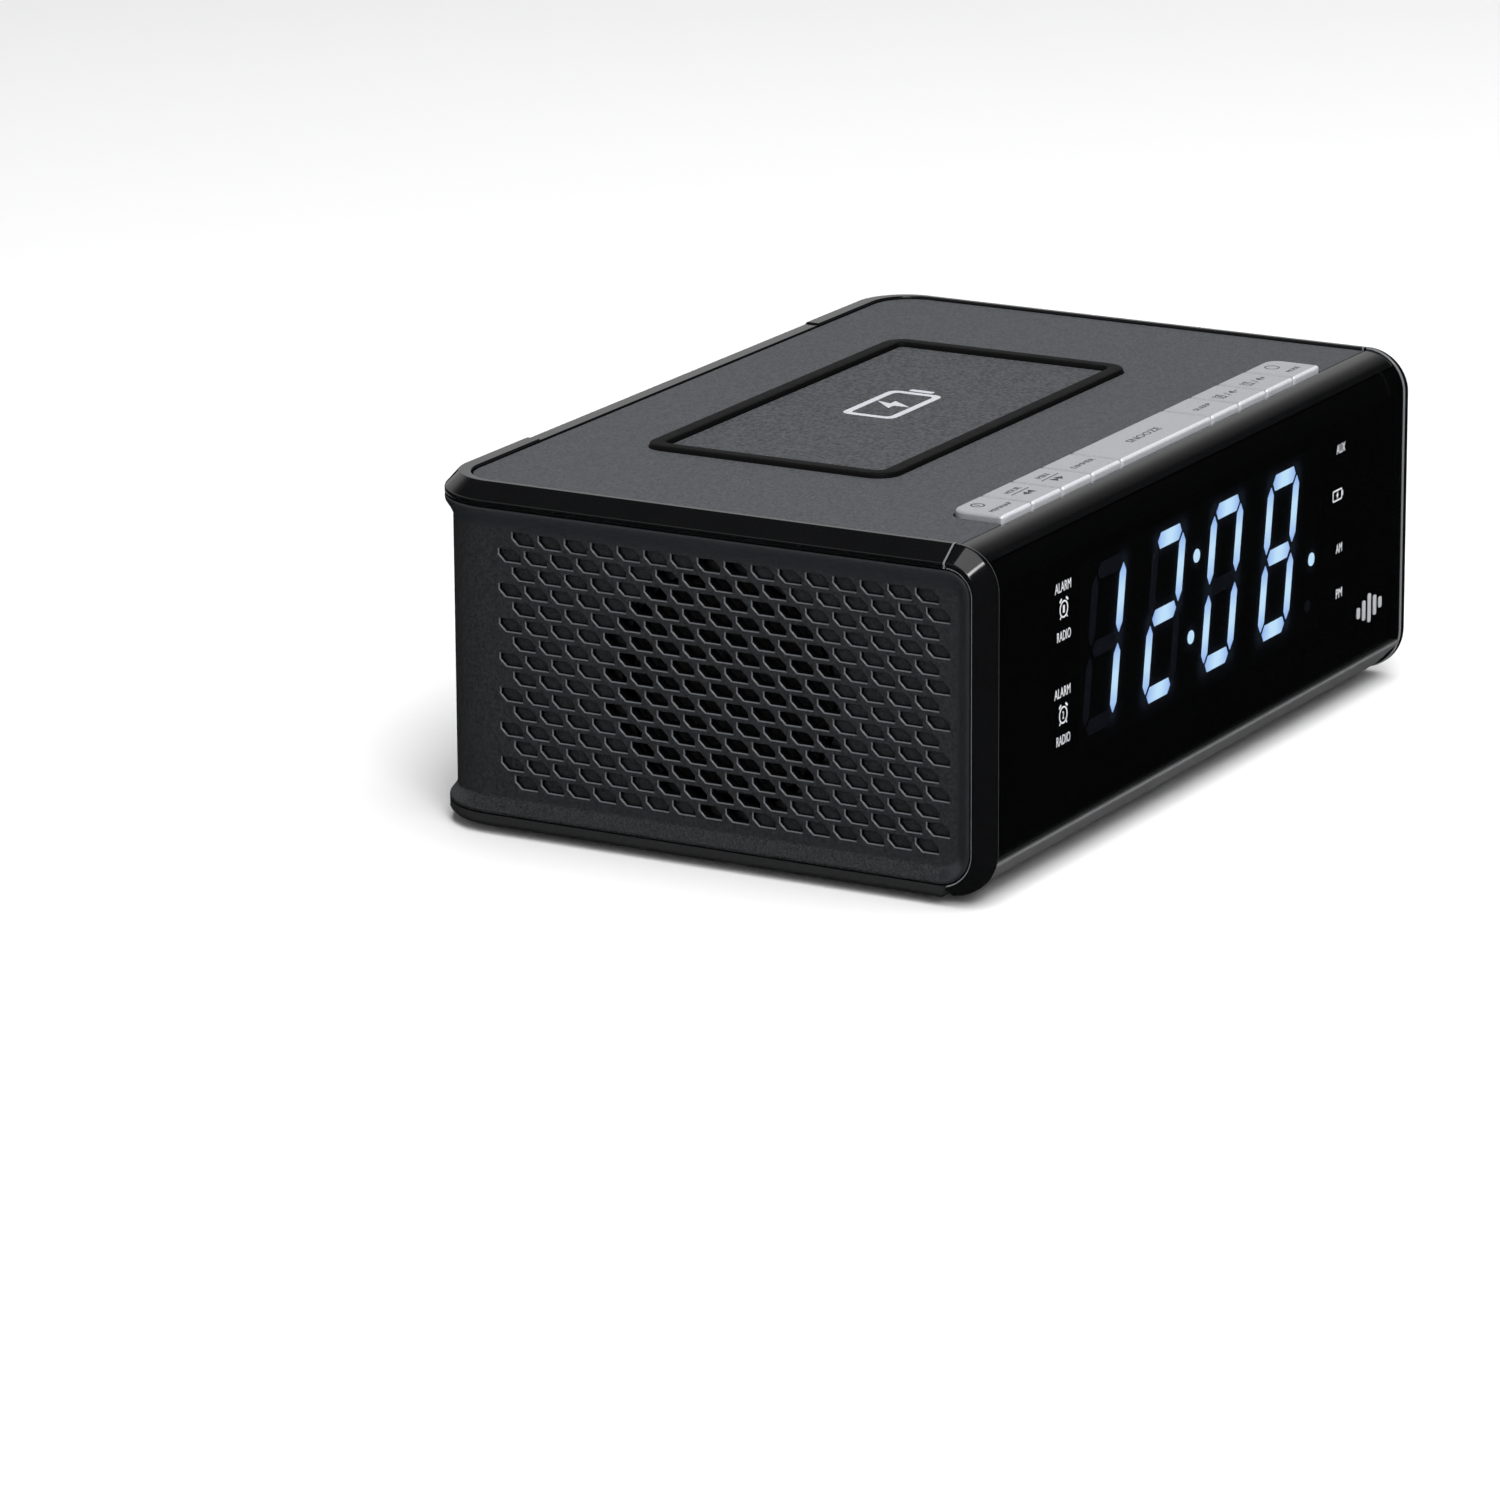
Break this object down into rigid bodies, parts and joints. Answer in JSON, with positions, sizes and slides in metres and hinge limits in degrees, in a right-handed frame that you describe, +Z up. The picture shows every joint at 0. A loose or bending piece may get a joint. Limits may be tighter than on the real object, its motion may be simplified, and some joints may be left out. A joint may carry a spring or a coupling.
{
  "type": "clock radio",
  "caption": "Bedside clock radio with a wide smoked number display, a row of silver keys, side speaker grilles and a charging pad on its lid.",
  "frame": {"origin": "on the table, under the middle of the case", "axes": "+X across the front from left to right as the user sees it, +Y from the display to the back, +Z up"},
  "size_m": [0.18, 0.118, 0.067],
  "materials": {
    "gloss_black": "polished black plastic of the bezel and the rims",
    "display_lens": "smoked display window with a mirror-smooth face",
    "lid_grey": "fine-grained dark grey lid",
    "pad_rubber": "black rubber ring round the charging pad",
    "case_moulding": "black textured moulding of the grilles and the rear cover",
    "base_moulding": "black textured base, battery bay and door",
    "key_silver": "satin silver keys",
    "foot_rubber": "matt black rubber",
    "screw_steel": "bright self-tapping screws",
    "circuit_board": "green solder mask with parts on it",
    "led_housing": "black housing of the number display",
    "led_light": "cool white lit segments",
    "key_legend": "dark grey printed legends",
    "face_print": "pale printed labels and marks",
    "copper_winding": "enamelled copper wire",
    "ferrite": "dark sintered ferrite",
    "socket_steel": "nickel-plated steel",
    "socket_plastic": "black socket body",
    "speaker_basket": "pressed steel speaker basket",
    "speaker_cone": "black paper cone with a dust cap",
    "cell_wrap": "printed wrap of a standard cell"
  },
  "bodies": {
    "cabinet": {"front_bezel": "gloss_black", "display_lens": "display_lens", "top_panel": "lid_grey", "pad_ring": "pad_rubber", "side_rim_left": "gloss_black", "side_rim_right": "gloss_black", "side_grille_left": "case_moulding", "side_grille_right": "case_moulding", "rear_cover": "case_moulding", "bottom_cover": "base_moulding", "key_board": "circuit_board", "led_module": "led_housing", "display_board": "circuit_board", "charging_coil": "copper_winding", "ferrite_sheet": "ferrite", "charger_board": "circuit_board", "main_board": "circuit_board", "am_ferrite_rod": "ferrite", "am_aerial_coil": "copper_winding", "usb_socket": "socket_steel", "aux_socket": "socket_plastic", "fm_aerial_gland": "foot_rubber", "power_socket": "socket_plastic", "battery_bay": "base_moulding", "backup_cell_front": "cell_wrap", "backup_cell_rear": "cell_wrap", "battery_contact_left": "socket_steel", "battery_contact_right": "socket_steel", "foot_front_left": "foot_rubber", "case_screw_front_left": "screw_steel", "foot_front_right": "foot_rubber", "case_screw_front_right": "screw_steel", "foot_rear_left": "foot_rubber", "case_screw_rear_left": "screw_steel", "foot_rear_right": "foot_rubber", "case_screw_rear_right": "screw_steel", "speaker_basket_left": "speaker_basket", "speaker_cone_left": "speaker_cone", "speaker_magnet_left": "ferrite", "speaker_basket_right": "speaker_basket", "speaker_cone_right": "speaker_cone", "speaker_magnet_right": "ferrite"},
    "power_key": {"power_key": "key_silver"},
    "hour_key": {"hour_key": "key_silver"},
    "minute_key": {"minute_key": "key_silver"},
    "dimmer_key": {"dimmer_key": "key_silver"},
    "snooze_key": {"snooze_key": "key_silver"},
    "sleep_key": {"sleep_key": "key_silver"},
    "alarm_one_key": {"alarm_one_key": "key_silver"},
    "alarm_two_key": {"alarm_two_key": "key_silver"},
    "mode_key": {"mode_key": "key_silver"},
    "battery_door": {"battery_door": "base_moulding"}
  },
  "joints": [
    {"name": "power_press", "type": "slide", "parent": "cabinet", "child": "power_key", "axis": [0, 0, -1], "range_m": [0, 0.0008], "stiffness_N_per_m": 1500},
    {"name": "hour_press", "type": "slide", "parent": "cabinet", "child": "hour_key", "axis": [0, 0, -1], "range_m": [0, 0.0008], "stiffness_N_per_m": 1500},
    {"name": "minute_press", "type": "slide", "parent": "cabinet", "child": "minute_key", "axis": [0, 0, -1], "range_m": [0, 0.0008], "stiffness_N_per_m": 1500},
    {"name": "dimmer_press", "type": "slide", "parent": "cabinet", "child": "dimmer_key", "axis": [0, 0, -1], "range_m": [0, 0.0008], "stiffness_N_per_m": 1500},
    {"name": "snooze_press", "type": "slide", "parent": "cabinet", "child": "snooze_key", "axis": [0, 0, -1], "range_m": [0, 0.0008], "stiffness_N_per_m": 2000},
    {"name": "sleep_press", "type": "slide", "parent": "cabinet", "child": "sleep_key", "axis": [0, 0, -1], "range_m": [0, 0.0008], "stiffness_N_per_m": 1500},
    {"name": "alarm_one_press", "type": "slide", "parent": "cabinet", "child": "alarm_one_key", "axis": [0, 0, -1], "range_m": [0, 0.0008], "stiffness_N_per_m": 1500},
    {"name": "alarm_two_press", "type": "slide", "parent": "cabinet", "child": "alarm_two_key", "axis": [0, 0, -1], "range_m": [0, 0.0008], "stiffness_N_per_m": 1500},
    {"name": "mode_press", "type": "slide", "parent": "cabinet", "child": "mode_key", "axis": [0, 0, -1], "range_m": [0, 0.0008], "stiffness_N_per_m": 1500},
    {"name": "battery_door_hinge", "type": "hinge", "parent": "cabinet", "child": "battery_door", "pos_m": [0, -0.0372, 0.00225], "axis": [-1, 0, 0], "range_deg": [0, 75]}
  ]
}
